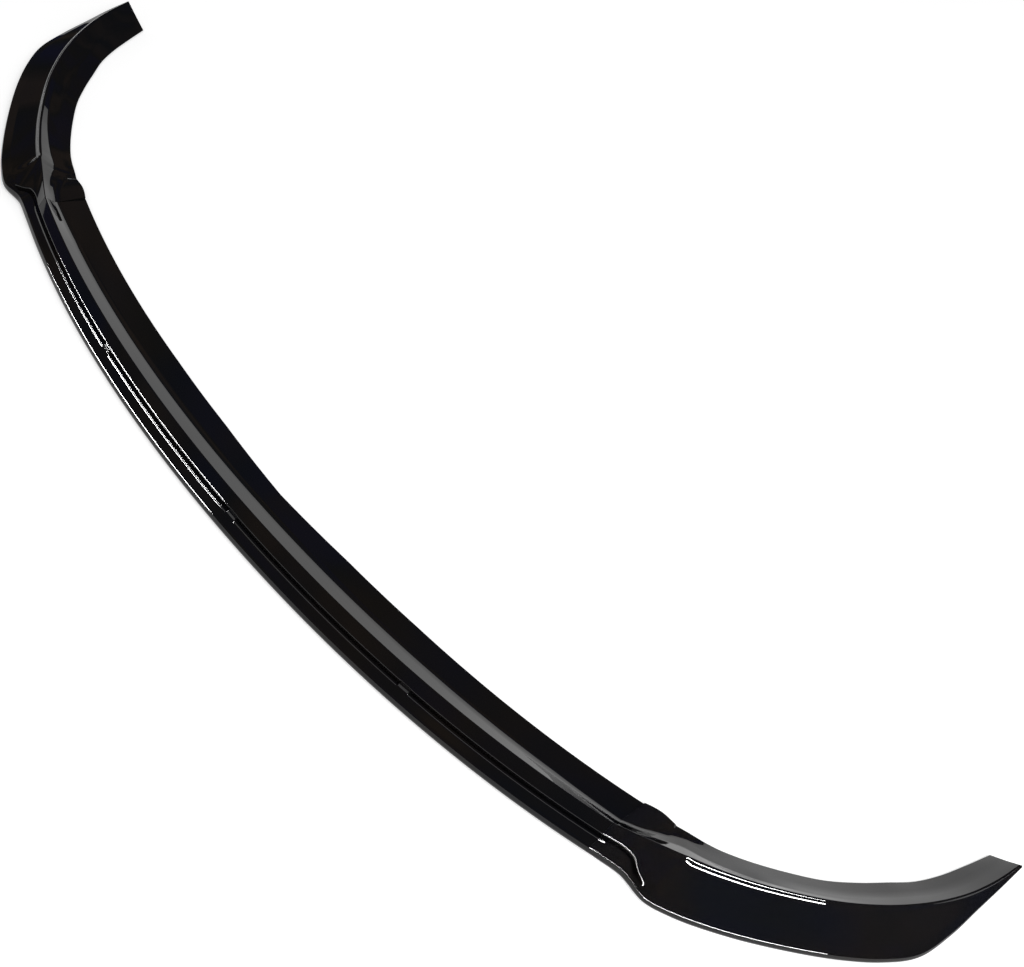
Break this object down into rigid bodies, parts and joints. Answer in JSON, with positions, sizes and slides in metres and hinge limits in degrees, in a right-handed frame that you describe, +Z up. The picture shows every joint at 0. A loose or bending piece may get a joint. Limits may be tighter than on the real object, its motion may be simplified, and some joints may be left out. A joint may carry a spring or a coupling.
{
  "type": "front splitter lip",
  "caption": "Gloss black front splitter lip for a car bumper, in three mouldings lapped and screwed at two seams.",
  "frame": {"origin": "on the floor plane, below the middle of the whole lip", "axes": "+X across the car towards the right corner of the picture, the nose faces -Y, the tips point to +Y, +Z up"},
  "size_m": [1.7206, 0.4325, 0.0381],
  "materials": {
    "gloss_black": "high gloss",
    "zinc": "zinc plated"
  },
  "bodies": {
    "root": {"centre_lip": "gloss_black", "left_corner_lip": "gloss_black", "right_corner_lip": "gloss_black", "joint_washers": "zinc", "joint_screws": "zinc"}
  },
  "joints": []
}
